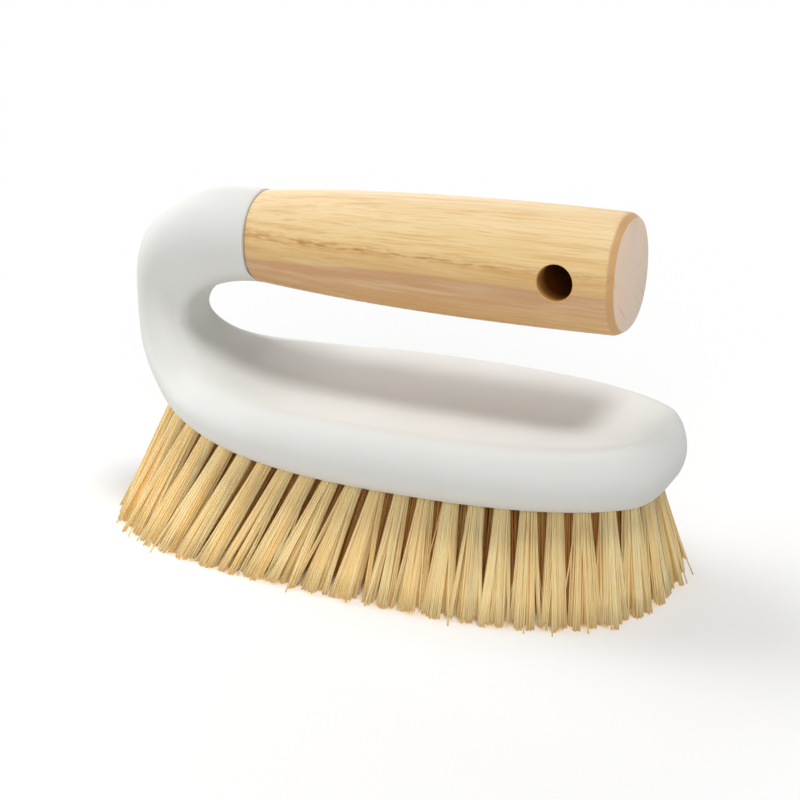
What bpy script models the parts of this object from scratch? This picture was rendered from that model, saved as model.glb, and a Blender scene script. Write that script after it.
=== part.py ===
"""Hand scrubbing brush: a curled plastic body, a bamboo handle and rings of fibre tufts.

Written for Blender 4.5, in metres. X runs along the brush from the neck (-X) to the free end (+X),
Y is its width, and Z points up from the plane of the bristle tips, on which the brush stands.
Run it with blender --background --python part.py, or from Blender's text editor.
"""

import math

import bmesh
import bpy
import numpy as np
from mathutils import Matrix, Vector
from mathutils.bvhtree import BVHTree

MM = 0.001

# Clearance between pieces that seat on each other, filled by glue or by the tuft's own spring.
SEAT_GAP = 0.3 * MM
CUT_OVERSHOOT = 1.0 * MM     # how far a cutter reaches past the surface that it cuts
MERGE_DISTANCE = 0.001 * MM
CUT_MERGE_DISTANCE = 0.06 * MM   # corners that the cuts leave closer together than this are merged

# Bristle block: an oval plate with a half-round rim and a shallow dish on top.
BLOCK_LENGTH = 139.6 * MM
BLOCK_WIDTH = 72.0 * MM
BLOCK_THICKNESS = 17.1 * MM
OUTLINE_POWER = 2.5          # 2 is an ellipse, more is squarer
RIM_DEPTH = 7.4 * MM         # how far in from the outline the rim's rounding reaches
LEAST_FLAT = 0.25            # the flat between the rims keeps this share of the width at the tip
DISH_DEPTH = 2.2 * MM
DISH_RUN = 18.0 * MM         # length over which the dish deepens behind the free end's rim

# Neck: it leaves the block at the -X end, curls up and back, and ends in the handle collar.
NECK_OVERHANG = 11.8 * MM    # how far the neck reaches past the end of the block's oval
NECK_THICKNESS = 14.9 * MM
NECK_WIDTH = 24.6 * MM
NECK_FLAT = 10.0 * MM        # width of the flat along the neck's inner and outer faces
BLEND_START = 56.6 * MM      # from the oval's middle, where the block starts to narrow to the neck
OUTER_BEND_RUN = 80.0 * MM
OUTER_BEND_RISE = 39.3 * MM
OUTER_BEND_FULLNESS = 0.73   # 0.55 is round, more is squarer, less is flatter
INNER_BEND_RUN = 40.2 * MM
INNER_BEND_RISE = 13.6 * MM
INNER_BEND_FULLNESS = 0.58
OUTER_ELBOW_RUN = 30.9 * MM
INNER_ELBOW_RUN = 21.9 * MM
OUTER_ELBOW_FULLNESS = 0.68
INNER_ELBOW_FULLNESS = 0.58
FINGER_GAP = 24.1 * MM       # clear height between the block's rim and the collar
COLLAR_DIAMETER = 24.6 * MM
JOINT_REACH = 35.5 * MM      # from the neck's outermost point to the handle joint

# Spigot inside the handle joint, moulded with the body.
SPIGOT_DIAMETER = 13.0 * MM
SPIGOT_LENGTH = 26.0 * MM
SPIGOT_CHAMFER = 1.0 * MM

# Bamboo handle: its height at the joint, at one third, at two thirds and at the free end.
HANDLE_LENGTH = 101.0 * MM
HANDLE_HEIGHTS = (24.0 * MM, 28.6 * MM, 30.3 * MM, 29.9 * MM)
HANDLE_FLATNESS = 0.97       # width as a share of height
HANDLE_SQUARENESS = 2.2      # power of its section
HANDLE_RISE = 1.3 * MM       # how much higher its free end lies than its joint
END_CHAMFER_DEPTH = 1.4 * MM
END_CHAMFER_LENGTH = 2.0 * MM
HANG_HOLE_DIAMETER = 9.0 * MM
HANG_HOLE_FROM_END = 14.7 * MM

# Outer ring of tufts: each springs from its own hole and fans out to the flat-trimmed tips.
BRISTLE_LENGTH = 27.0 * MM   # from the flat of the block's underside down to the tips
TUFT_DIAMETER = 3.8 * MM
TUFT_PITCH = 6.5 * MM
TUFT_HOLE_DEPTH = 8.0 * MM
TUFT_INSET = 9.4 * MM        # from the block's outline to the middles of the tufts, at the sides
TUFT_FREE_INSET = 7.6 * MM   # the same at the free end
TUFT_NECK_INSET = 1.2 * MM   # the same at the neck end, where the underside curves up
TUFT_RING_POWER = 2.5
FLARE_FREE_END = 5.5 * MM    # how far the tips' middles lie outside the roots, at the free end
FLARE_NECK_END = 16.5 * MM
FLARE_SIDES = 11.3 * MM
TIP_RING_POWER = 2.8
TIP_TAPER = 0.07             # how much wider the tips spread at the free end than in the middle
STRANDS = 6
STRAND_INSET = 0.18 * MM     # half the space between neighbouring strands at the root
STRAND_TAPER = 0.9           # a strand's size at its tip, as a share of its root
TUFT_FAN = 2.6 * MM          # from a tuft's middle to its strands' middles, at the tips

# Inner rings of tufts, two strands to a tuft, fused to a strip that lies in a groove.
INNER_RINGS = 3
RING_SPACING = 6.9 * MM
INNER_PITCH = 7.4 * MM
STRIP_WIDTH = 3.4 * MM
STRIP_DEPTH = 2.0 * MM
INNER_TUFT_LENGTH = 3.0 * MM
INNER_FAN = 1.7 * MM

# Facets and stations.
RIM_STEPS = 4
FLAT_STEPS = 4
RING_SIDES = 4 * RIM_STEPS + 2 * FLAT_STEPS
TIP_RUN = 20.0 * MM          # sections crowd together over this length behind the free end
TIP_STATIONS = 7
BLOCK_STATIONS = 4
BEND_STATIONS = 14
ELBOW_STATIONS = 10
COLLAR_STATIONS = 2
HANDLE_STATIONS = 11
TUFT_HOLE_SIDES = 8
BEND_POINTS = 101            # along a bend, before its stations are spaced evenly
OUTLINE_POINTS = 1441        # round a ring of tufts, to measure along it
SLOPE_STEP = 0.1 * MM
TURN_STEP = 0.01             # in radians
SHARP_ANGLE = math.radians(35)   # edges that turn by more are shaded as creases

PLASTIC = ((0.84, 0.83, 0.81), 0.42)
BAMBOO = ((0.80, 0.58, 0.32), 0.5)
FIBRE = ((0.82, 0.65, 0.36), 0.6)

# Places that follow from the sizes. The middle of the block's oval is at X = 0 here, and the
# finished brush is moved along X so that its overall box is centred on the origin.
BLOCK_BOTTOM = BRISTLE_LENGTH
BLOCK_TOP = BLOCK_BOTTOM + BLOCK_THICKNESS
TIP_X = BLOCK_LENGTH / 2
NECK_OUTER_X = -BLOCK_LENGTH / 2 - NECK_OVERHANG
NECK_INNER_X = NECK_OUTER_X + NECK_THICKNESS
OUTER_BEND_X = NECK_OUTER_X + OUTER_BEND_RUN
INNER_BEND_X = NECK_INNER_X + INNER_BEND_RUN
BEND_START_X = max(OUTER_BEND_X, INNER_BEND_X)   # where the first of the two bends begins
JOINT_X = NECK_OUTER_X + JOINT_REACH
COLLAR_BOTTOM = BLOCK_TOP + FINGER_GAP
COLLAR_TOP = COLLAR_BOTTOM + COLLAR_DIAMETER
AXIS_Z = COLLAR_BOTTOM + COLLAR_DIAMETER / 2
LOWER_BEND_END = TIP_STATIONS + BLOCK_STATIONS + BEND_STATIONS - 1
ELBOW_END = LOWER_BEND_END + ELBOW_STATIONS
HANDLE_START = JOINT_X + SEAT_GAP
HANDLE_END = HANDLE_START + HANDLE_LENGTH
TUFT_HOLE_RADIUS = (TUFT_DIAMETER / 2 + SEAT_GAP) / math.cos(math.pi / TUFT_HOLE_SIDES)


def start_collections():
    """Clears the scene and returns one collection for the pieces and one for the cutters."""
    for old in list(bpy.data.objects):
        bpy.data.objects.remove(old, do_unlink=True)
    made = []
    for name in ("scrubbing_brush", "cutters"):
        collection = bpy.data.collections.new(name)
        bpy.context.scene.collection.children.link(collection)
        made.append(collection)
    return made


def make_material(name, look):
    colour, roughness = look
    material = bpy.data.materials.new(name)
    material.use_nodes = True
    shader = material.node_tree.nodes["Principled BSDF"]
    shader.inputs["Base Color"].default_value = (*colour, 1.0)
    shader.inputs["Roughness"].default_value = roughness
    material.diffuse_color = (*colour, 1.0)
    return material


def add_object(name, bm, collection, material=None):
    """Makes an object of a bmesh, with its place in its mesh, and frees the bmesh."""
    mesh = bpy.data.meshes.new(name)
    bm.to_mesh(mesh)
    bm.free()
    obj = bpy.data.objects.new(name, mesh)
    collection.objects.link(obj)
    if material:
        mesh.materials.append(material)
    else:
        obj.hide_render = True
        obj.display_type = "WIRE"
    return obj


def smooth_shading(obj):
    obj.data.shade_smooth()
    obj.data.set_sharp_from_angle(angle=SHARP_ANGLE)


def cut(obj, cutter):
    modifier = obj.modifiers.new("cut " + cutter.name, "BOOLEAN")
    modifier.operation = "DIFFERENCE"
    modifier.solver = "EXACT"
    modifier.object = cutter


def finish_cuts(obj):
    """Merges the nearly touching corners that the cuts leave, and splits the faces into full triangles."""
    weld = obj.modifiers.new("merge close corners", "WELD")
    weld.merge_threshold = CUT_MERGE_DISTANCE
    split = obj.modifiers.new("split faces", "TRIANGULATE")
    split.quad_method = "BEAUTY"
    split.ngon_method = "BEAUTY"


def ease(t):
    """A share that starts and ends level: 0 below 0, 1 above 1."""
    t = np.clip(t, 0.0, 1.0)
    return t * t * (3.0 - 2.0 * t)


def hermite(start, end, start_slope, t):
    """A cubic from start, at the given slope, to end, where it is level."""
    return (start * (2 * t ** 3 - 3 * t ** 2 + 1) + start_slope * (t ** 3 - 2 * t ** 2 + t)
            + end * (3 * t ** 2 - 2 * t ** 3))


def line(start, end, t):
    start, end = np.array(start), np.array(end)
    return start + (end - start) * t[:, None]


def evenly(points, count):
    """The given number of points spaced evenly along a polyline, without its first point."""
    run = np.concatenate([[0.0], np.cumsum(np.linalg.norm(np.diff(points, axis=0), axis=1))])
    places = np.linspace(0.0, run[-1], count + 1)[1:]
    return np.stack([np.interp(places, run, column) for column in points.T], axis=1)


def quarter_bend(start, end, fullness, leaves_level):
    """A quarter turn in the XZ plane, level at one end and upright at the other.

    It is a Bezier curve whose handles are a share, its fullness, of the way to the corner: 0.55
    makes a circle or an ellipse, more a squarer bend and less a flatter one."""
    start, end = np.array(start), np.array(end)
    corner = np.array([end[0], start[1]] if leaves_level else [start[0], end[1]])
    first, second = start + (corner - start) * fullness, end + (corner - end) * fullness
    t = np.linspace(0.0, 1.0, BEND_POINTS)[:, None]
    return ((1 - t) ** 3 * start + 3 * t * (1 - t) ** 2 * first
            + 3 * t ** 2 * (1 - t) * second + t ** 3 * end)


def superellipse(angle, power):
    """A unit outline: power 2 is a circle, more is squarer."""
    across, up = np.cos(angle), np.sin(angle)
    return (np.sign(across) * np.abs(across) ** (2 / power),
            np.sign(up) * np.abs(up) ** (2 / power))


def skin(rings, closed=False):
    """A surface through rings of equally many points. Its ends are capped unless it is closed.

    Returns the bmesh and its faces, a row for each ring."""
    bm = bmesh.new()
    rows = [[bm.verts.new(point) for point in ring] for ring in rings]
    if closed:
        pairs = zip(rows, rows[1:] + rows[:1])
    else:
        bm.faces.new(rows[0])
        bm.faces.new(rows[-1])
        pairs = zip(rows, rows[1:])
    sides = len(rows[0])
    faces = []
    for near, far in pairs:
        faces.append([bm.faces.new((near[k], near[(k + 1) % sides], far[(k + 1) % sides], far[k]))
                      for k in range(sides)])
    bm.normal_update()
    return bm, faces


def close_up(bm):
    """Merges points that coincide, turns the faces outwards and splits them into triangles."""
    bmesh.ops.remove_doubles(bm, verts=bm.verts, dist=MERGE_DISTANCE)
    bmesh.ops.recalc_face_normals(bm, faces=bm.faces)
    bmesh.ops.triangulate(bm, faces=bm.faces)


def side_edge(level, bend_x, upright, elbow_x, collar_level, bend_fullness, elbow_fullness):
    """One edge of the body's side view, station by station, as rows of X and Z.

    It runs level along the block, round the lower bend to its upright point, round the elbow,
    and level again to the handle joint. From where the first bend begins, the stations are spaced
    evenly along each edge, so that the sections between the two edges swing round steadily."""
    crowd = 1.0 - np.cos(np.linspace(0.0, math.pi / 2, TIP_STATIONS))
    level_start = (TIP_X - TIP_RUN, level)
    bend = np.concatenate([[(BEND_START_X, level)],
                           quarter_bend((bend_x, level), upright, bend_fullness, True)])
    elbow = quarter_bend(upright, (elbow_x, collar_level), elbow_fullness, False)
    return np.concatenate([
        line((TIP_X, level), level_start, crowd),
        evenly(np.array([level_start, (BEND_START_X, level)]), BLOCK_STATIONS),
        evenly(bend, BEND_STATIONS),
        evenly(elbow, ELBOW_STATIONS),
        evenly(np.array([(elbow_x, collar_level), (JOINT_X, collar_level)]), COLLAR_STATIONS),
    ])


def section_template():
    """The points round a section of the body, from its +Y side over the top.

    Each row holds the share of the flat's half width and the share of the rim's depth by which the
    point lies to the side, and the share of the section's height by which it lies up or down."""
    turns = np.linspace(0.0, math.pi / 2, RIM_STEPS + 1)
    rim = [(1.0, math.cos(turn), math.sin(turn)) for turn in turns]
    flat = [(share, 0.0, 1.0) for share in np.linspace(1.0, -1.0, FLAT_STEPS + 1)[1:-1]]
    far_rim = [(-1.0, -out, up) for _, out, up in reversed(rim)]
    upper = rim + flat + far_rim
    lower = [(share, out, -up) for share, out, up in upper[-2:0:-1]]
    return np.array(upper + lower).T


def round_ring(x, radius, first=1):
    """A circle round the handle joint's axis, from its +Y side, upwards first or (-1) downwards."""
    turn = np.arange(RING_SIDES) * math.tau / RING_SIDES
    return np.stack([np.full(RING_SIDES, x), radius * np.cos(turn),
                     AXIS_Z + radius * np.sin(turn) * first], axis=1)


def oval_half_width(x):
    share = np.clip(np.abs(x) / (BLOCK_LENGTH / 2), 0.0, 1.0)
    return BLOCK_WIDTH / 2 * (1.0 - share ** OUTLINE_POWER) ** (1 / OUTLINE_POWER)


def body_sections():
    """Sections of the body, from the free end's tip along the block and the neck to the joint.

    The block's oval narrows into the neck along the lower bend, and the neck's flat-faced section
    turns into the round collar along the elbow."""
    outer = side_edge(BLOCK_BOTTOM, OUTER_BEND_X, (NECK_OUTER_X, BLOCK_BOTTOM + OUTER_BEND_RISE),
                      NECK_OUTER_X + OUTER_ELBOW_RUN, COLLAR_TOP,
                      OUTER_BEND_FULLNESS, OUTER_ELBOW_FULLNESS)
    inner = side_edge(BLOCK_TOP, INNER_BEND_X, (NECK_INNER_X, BLOCK_TOP + INNER_BEND_RISE),
                      NECK_INNER_X + INNER_ELBOW_RUN, COLLAR_BOTTOM,
                      INNER_BEND_FULLNESS, INNER_ELBOW_FULLNESS)
    thickness = np.linalg.norm(inner - outer, axis=1)
    across = (inner - outer) / thickness[:, None]
    middle = (outer + inner) / 2
    x = middle[:, 0]
    run = np.concatenate([[0.0], np.cumsum(np.linalg.norm(np.diff(middle, axis=0), axis=1))])

    blend_start = np.interp(BLEND_START, -x[:LOWER_BEND_END], run[:LOWER_BEND_END])
    blend_run = run[LOWER_BEND_END] - blend_start
    share = np.clip((run - blend_start) / blend_run, 0.0, 1.0)
    blend = ease(share)
    roundness = ease((run - run[LOWER_BEND_END]) / (run[ELBOW_END] - run[LOWER_BEND_END]))

    start_width = oval_half_width(BLEND_START)
    next_width = oval_half_width(BLEND_START + SLOPE_STEP)
    start_slope = (next_width - start_width) / SLOPE_STEP * blend_run
    narrowing = hermite(start_width, NECK_WIDTH / 2, start_slope, share)
    neck = NECK_WIDTH / 2 + (COLLAR_DIAMETER - NECK_WIDTH) / 2 * roundness
    half_width = np.where(share > 0.0, np.where(share < 1.0, narrowing, neck), oval_half_width(x))
    plate_flat = np.maximum(half_width - RIM_DEPTH, half_width * LEAST_FLAT)
    half_flat = plate_flat * (1.0 - blend) + NECK_FLAT / 2 * blend

    from_tip = np.clip((TIP_X - x) / RIM_DEPTH, 0.0, 1.0)
    half_height = thickness / 2 * np.sqrt(1.0 - (1.0 - from_tip) ** 2)
    dish = DISH_DEPTH * (1.0 - blend) * ease((TIP_X - RIM_DEPTH - x) / DISH_RUN)

    flat, rim, height = section_template()
    side = half_flat[:, None] * flat + (half_width - half_flat)[:, None] * rim
    rise = half_height[:, None] * height
    rise -= dish[:, None] * (1.0 - flat ** 2) ** 2 * (height > 0.0)
    turn = np.arange(RING_SIDES) * math.tau / RING_SIDES
    round_share = roundness[:, None]
    side += (half_width[:, None] * np.cos(turn) - side) * round_share
    rise += (thickness[:, None] / 2 * np.sin(turn) - rise) * round_share
    places = middle[:, None, :] + across[:, None, :] * rise[..., None]
    return np.stack([places[..., 0], side, places[..., 1]], axis=2)


def body_solid():
    """The whole moulding before its tuft seats are cut, with the spigot that the handle fits on.

    The neck's half turn has put the sections upside down by the joint, so the spigot's are too."""
    spigot_radius = SPIGOT_DIAMETER / 2
    spigot_end = JOINT_X + SPIGOT_LENGTH
    bm, _ = skin([*body_sections(),
                  round_ring(JOINT_X, spigot_radius, -1),
                  round_ring(spigot_end - SPIGOT_CHAMFER, spigot_radius, -1),
                  round_ring(spigot_end, spigot_radius - SPIGOT_CHAMFER, -1)])
    close_up(bm)
    return bm


def handle_ring(share, inset=0.0):
    """A section of the handle at a share of its length: a cubic runs through its four heights."""
    height = np.polyval(np.polyfit(np.linspace(0.0, 1.0, 4), HANDLE_HEIGHTS, 3), share)
    turn = np.arange(RING_SIDES) * math.tau / RING_SIDES
    side, up = superellipse(turn, HANDLE_SQUARENESS)
    return np.stack([np.full(RING_SIDES, HANDLE_START + HANDLE_LENGTH * share),
                     (height * HANDLE_FLATNESS / 2 - inset) * side,
                     AXIS_Z + HANDLE_RISE * share + (height / 2 - inset) * up], axis=1)


def handle_solid():
    """The handle with the blind bore in its joint end and the chamfer round its free end."""
    bore_radius = SPIGOT_DIAMETER / 2 + SEAT_GAP
    bore_end = JOINT_X + SPIGOT_LENGTH + SEAT_GAP
    chamfer_start = 1.0 - END_CHAMFER_LENGTH / HANDLE_LENGTH
    bm, _ = skin([round_ring(bore_end, bore_radius),
                  round_ring(HANDLE_START, bore_radius),
                  *[handle_ring(share) for share in np.linspace(0.0, chamfer_start, HANDLE_STATIONS)],
                  handle_ring(1.0, END_CHAMFER_DEPTH)])
    close_up(bm)
    return bm


def hanging_hole_cutter():
    """A cylinder across the handle, a little longer than the handle is wide."""
    bm = bmesh.new()
    share = 1.0 - HANG_HOLE_FROM_END / HANDLE_LENGTH
    place = Matrix.Translation((HANDLE_END - HANG_HOLE_FROM_END, 0.0, AXIS_Z + HANDLE_RISE * share))
    bmesh.ops.create_cone(bm, cap_ends=True, segments=RING_SIDES,
                          radius1=HANG_HOLE_DIAMETER / 2, radius2=HANG_HOLE_DIAMETER / 2,
                          depth=max(HANDLE_HEIGHTS) + 2 * CUT_OVERSHOOT,
                          matrix=place @ Matrix.Rotation(math.pi / 2, 4, "X"))
    return bm


class TuftRing:
    """One ring of tufts: where each tuft leaves the block, and where it ends in the plane of the tips."""

    def __init__(self, inset, pitch, underside):
        self.underside = underside
        neck_end = -BLOCK_LENGTH / 2 + TUFT_NECK_INSET
        free_end = BLOCK_LENGTH / 2 - TUFT_FREE_INSET
        half_width = BLOCK_WIDTH / 2 - TUFT_INSET
        half_length = (free_end - neck_end) / 2
        self.centre = (free_end + neck_end) / 2
        self.root_size = np.array([half_length - inset, half_width - inset])
        self.tip_centre = self.centre + (FLARE_FREE_END - FLARE_NECK_END) / 2
        spread = np.array([1.0 + (FLARE_FREE_END + FLARE_NECK_END) / 2 / half_length,
                           1.0 + FLARE_SIDES / half_width])
        self.tip_size = self.root_size * spread
        angle = np.linspace(0.0, math.tau, OUTLINE_POINTS)
        outline = self.root_size[:, None] * np.array(superellipse(angle, TUFT_RING_POWER))
        steps = np.hypot(*np.diff(outline, axis=1))
        self.angles = angle
        self.run = np.concatenate([[0.0], np.cumsum(steps)])
        self.count = round(self.run[-1] / pitch)

    def angle_at(self, place):
        """The outline's angle at a place counted in tufts: the first tuft's middle is at 0.5."""
        return np.interp(place % self.count, self.run / self.run[-1] * self.count, self.angles)

    def root(self, place, out=0.0):
        """A point on the block's underside, moved outwards from the ring by a distance."""
        x, y = self.root_size * np.array(superellipse(self.angle_at(place), TUFT_RING_POWER))
        level = Vector((self.centre + x, y, 0.0)) + self.outward(place) * out
        return self.underside.ray_cast(level, Vector((0.0, 0.0, 1.0)))[0]

    def tip(self, place):
        across, up = superellipse(self.angle_at(place), TIP_RING_POWER)
        x, y = self.tip_size * (across, up * (1.0 + TIP_TAPER * across))
        return Vector((self.tip_centre + x, y, 0.0))

    def tangent(self, place):
        """The ring's level direction at a place, anticlockwise from above."""
        angles = self.angle_at(place) + np.array([-TURN_STEP, TURN_STEP])
        back, ahead = (self.root_size[:, None] * np.array(superellipse(angles, TUFT_RING_POWER))).T
        return Vector((*(ahead - back), 0.0)).normalized()

    def outward(self, place):
        return self.tangent(place).cross(Vector((0.0, 0.0, 1.0)))


def tuft_axes(ring, place):
    """A tuft's own axes at its root: outwards, along the ring, and up into its hole."""
    root = ring.root(place)
    up = (root - ring.tip(place)).normalized()
    outward = ring.tangent(place).cross(up).normalized()
    axes = Matrix((outward, up.cross(outward), up)).transposed().to_4x4()
    return Matrix.Translation(root) @ axes


def outer_tuft(ring, place):
    """A tuft of three-sided strands that grow from the lower end of its gathered root."""
    root_length = TUFT_HOLE_DEPTH - SEAT_GAP
    bm = bmesh.new()
    bmesh.ops.create_cone(bm, cap_ends=True, cap_tris=True, segments=STRANDS,
                          radius1=TUFT_DIAMETER / 2, radius2=TUFT_DIAMETER / 2, depth=root_length,
                          matrix=Matrix.Translation((0.0, 0.0, root_length / 2)))
    lower = [face for face in bm.faces if face.normal.z < -0.5]
    bmesh.ops.inset_individual(bm, faces=lower, thickness=STRAND_INSET, use_even_offset=True)
    ends = bmesh.ops.extrude_discrete_faces(bm, faces=lower)["faces"]
    tip_places = {}
    for end in ends:
        middle = end.calc_center_median()
        fan = middle.normalized() * TUFT_FAN
        for vert in end.verts:
            offset = fan + (vert.co - middle) * STRAND_TAPER
            tip_places[vert] = (ring.tip(place) + ring.outward(place) * offset.x
                                + ring.tangent(place) * offset.y)
    bmesh.ops.transform(bm, matrix=tuft_axes(ring, place), verts=bm.verts)
    for vert, tip_place in tip_places.items():
        vert.co = tip_place
    bmesh.ops.recalc_face_normals(bm, faces=bm.faces)
    return bm


def tuft_hole_cutter(ring):
    """One mesh of slanted prisms, one for each tuft, that reach from outside the block to its depth."""
    bm = bmesh.new()
    outside = TUFT_HOLE_RADIUS + CUT_OVERSHOOT
    depth = TUFT_HOLE_DEPTH + outside
    for number in range(ring.count):
        middle = Matrix.Translation((0.0, 0.0, depth / 2 - outside))
        bmesh.ops.create_cone(bm, cap_ends=True, segments=TUFT_HOLE_SIDES, depth=depth,
                              radius1=TUFT_HOLE_RADIUS, radius2=TUFT_HOLE_RADIUS,
                              matrix=tuft_axes(ring, number + 0.5) @ middle)
    return bm


def band(ring, half_width, below, above):
    """A closed band that follows the block's underside along a ring, from below it to above it.

    Each tuft has two stations, INNER_TUFT_LENGTH apart. A section's points run from the band's
    lower outer edge through the middle of its underside to the inner one, and back over its top."""
    half_tuft = INNER_TUFT_LENGTH / 2 * ring.count / ring.run[-1]
    down, up = Vector((0.0, 0.0, -below)), Vector((0.0, 0.0, above))
    sections = []
    for number in range(ring.count):
        for place in (number + 0.5 - half_tuft, number + 0.5 + half_tuft):
            outer, middle, inner = [ring.root(place, out) for out in (half_width, 0.0, -half_width)]
            sections.append([outer + down, middle + down, inner + down, inner + up, outer + up])
    return skin(sections, closed=True)


def inner_ring(ring):
    """A strip of the block's backing with two four-sided strands for each tuft, side by side."""
    bm, faces = band(ring, STRIP_WIDTH / 2, 0.0, STRIP_DEPTH)
    for number in range(ring.count):
        place = number + 0.5
        outer_face, inner_face = faces[2 * number][:2]
        for face, fan in ((outer_face, INNER_FAN), (inner_face, -INNER_FAN)):
            bmesh.ops.inset_individual(bm, faces=[face], thickness=STRAND_INSET, use_even_offset=True)
            end = bmesh.ops.extrude_discrete_faces(bm, faces=[face])["faces"][0]
            middle = end.calc_center_median()
            for vert in end.verts:
                offset = (vert.co - middle) * STRAND_TAPER
                vert.co = ring.tip(place) + ring.outward(place) * fan + offset
                vert.co.z = 0.0
    bmesh.ops.recalc_face_normals(bm, faces=bm.faces)
    return bm


def groove_cutter(rings):
    """One mesh of bands, wider and higher than the strips by the clearance between the two."""
    bm = bmesh.new()
    for ring in rings:
        groove, _ = band(ring, STRIP_WIDTH / 2 + SEAT_GAP, CUT_OVERSHOOT, STRIP_DEPTH + SEAT_GAP)
        bmesh.ops.recalc_face_normals(groove, faces=groove.faces)
        mesh = bpy.data.meshes.new("groove")
        groove.to_mesh(mesh)
        groove.free()
        bm.from_mesh(mesh)
        bpy.data.meshes.remove(mesh)
    return bm


def centre_on_origin(objects):
    """Moves all objects along X so that their overall box is centred on X = 0."""
    places = [vert.co.x for obj in objects if not obj.hide_render for vert in obj.data.vertices]
    middle = (min(places) + max(places)) / 2
    for obj in objects:
        obj.location.x = -middle


def build_brush():
    pieces, cutters = start_collections()
    solid = body_solid()
    underside = BVHTree.FromBMesh(solid)
    outer = TuftRing(0.0, TUFT_PITCH, underside)
    inner = [TuftRing(RING_SPACING * number, INNER_PITCH, underside)
             for number in range(1, INNER_RINGS + 1)]

    body = add_object("brush_body", solid, pieces, make_material("white_plastic", PLASTIC))
    cut(body, add_object("tuft_hole_cutter", tuft_hole_cutter(outer), cutters))
    cut(body, add_object("groove_cutter", groove_cutter(inner), cutters))
    finish_cuts(body)
    smooth_shading(body)

    handle = add_object("bamboo_handle", handle_solid(), pieces, make_material("bamboo", BAMBOO))
    cut(handle, add_object("hanging_hole_cutter", hanging_hole_cutter(), cutters))
    finish_cuts(handle)
    smooth_shading(handle)

    for number in range(outer.count):
        name = f"tuft_outer_{number + 1:02d}"
        add_object(name, outer_tuft(outer, number + 0.5), pieces, make_material(name, FIBRE))
    for number, ring in enumerate(inner, start=1):
        name = f"tuft_ring_inner_{number}"
        add_object(name, inner_ring(ring), pieces, make_material(name, FIBRE))
    centre_on_origin([*pieces.objects, *cutters.objects])


build_brush()
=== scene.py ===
"""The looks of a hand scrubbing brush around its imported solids: a white moulded body, a handle of
laminated bamboo and rings of natural fibre tufts. Sizes are in millimetres unless a name says so."""
import math

import bmesh
import bpy
import numpy as np
from mathutils import Matrix, Vector


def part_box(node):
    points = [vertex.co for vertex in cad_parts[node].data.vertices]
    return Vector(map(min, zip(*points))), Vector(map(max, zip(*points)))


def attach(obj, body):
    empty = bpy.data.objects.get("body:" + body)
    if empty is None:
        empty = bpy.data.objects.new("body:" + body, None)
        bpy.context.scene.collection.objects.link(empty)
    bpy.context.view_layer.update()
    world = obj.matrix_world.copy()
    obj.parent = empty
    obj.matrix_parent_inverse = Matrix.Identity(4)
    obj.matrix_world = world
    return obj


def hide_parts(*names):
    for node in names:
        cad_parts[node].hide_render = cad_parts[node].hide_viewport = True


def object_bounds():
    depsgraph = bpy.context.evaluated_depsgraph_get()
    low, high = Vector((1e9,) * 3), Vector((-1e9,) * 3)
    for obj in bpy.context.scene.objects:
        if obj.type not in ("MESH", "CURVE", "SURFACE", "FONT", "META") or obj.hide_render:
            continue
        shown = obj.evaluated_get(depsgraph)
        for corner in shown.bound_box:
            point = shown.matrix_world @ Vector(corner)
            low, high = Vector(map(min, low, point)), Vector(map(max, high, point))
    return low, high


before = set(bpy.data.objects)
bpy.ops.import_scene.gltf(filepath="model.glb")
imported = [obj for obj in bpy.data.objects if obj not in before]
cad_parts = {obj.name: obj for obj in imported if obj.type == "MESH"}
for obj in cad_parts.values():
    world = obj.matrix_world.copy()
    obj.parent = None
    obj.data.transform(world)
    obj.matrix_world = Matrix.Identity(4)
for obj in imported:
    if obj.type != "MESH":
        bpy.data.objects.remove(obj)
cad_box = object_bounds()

# The body: one white polypropylene moulding, from the oval bristle block up round the neck to the
# collar that takes the handle. Its rims are softly rounded, the block's top is a shallow dish, and
# the mould's finish leaves it satin. No seam shows on it.
MM = 0.001
BLOCK_LENGTH, BLOCK_WIDTH, BLOCK_THICKNESS = 139.6, 72.0, 17.1
BLOCK_BOTTOM = 27.0
BLOCK_TOP = BLOCK_BOTTOM + BLOCK_THICKNESS
OUTLINE_POWER = 2.5            # of the oval: 2 is an ellipse, more is squarer
RIM_DEPTH = 7.4                # how far in from the outline the rim's rounding reaches
DISH_DEPTH, DISH_RUN = 2.2, 18.0
NECK_OVERHANG, NECK_THICKNESS, NECK_WIDTH, NECK_FLAT = 11.8, 14.9, 24.6, 10.0
BLEND_START = 56.6             # from the oval's middle, where the block starts to narrow
OUTER_BEND = (80.0, 39.3, 0.73)    # run, rise and fullness
INNER_BEND = (40.2, 13.6, 0.58)
OUTER_ELBOW = (30.9, 0.68)         # run and fullness
INNER_ELBOW = (21.9, 0.58)
FINGER_GAP, COLLAR_DIAMETER, JOINT_REACH = 24.1, 24.6, 35.5
SPIGOT_RADIUS, SPIGOT_LENGTH, SPIGOT_CHAMFER = 6.5, 26.0, 1.0
COLLAR_LIP = 0.5               # radius of the collar's rounded edge
TIP_RUN = 20.0                 # sections crowd together over this length behind the free end
TIP_ROWS, BLOCK_ROWS, BEND_ROWS, ELBOW_ROWS, COLLAR_ROWS = 22, 22, 64, 44, 6
NECK_INNER_EDGE = (4.5, 3.6)   # of the neck's flat side: the edge's radius, and how far it stands in
NECK_OUTER_EDGE = (6.5, 0.8)
NECK_EDGES_SOONER = 1.9        # they reach their form this much sooner than the neck its width
RIM_STEPS, FLAT_STEPS, LIP_ROWS, BEZIER_STEPS = 14, 14, 4, 200

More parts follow.
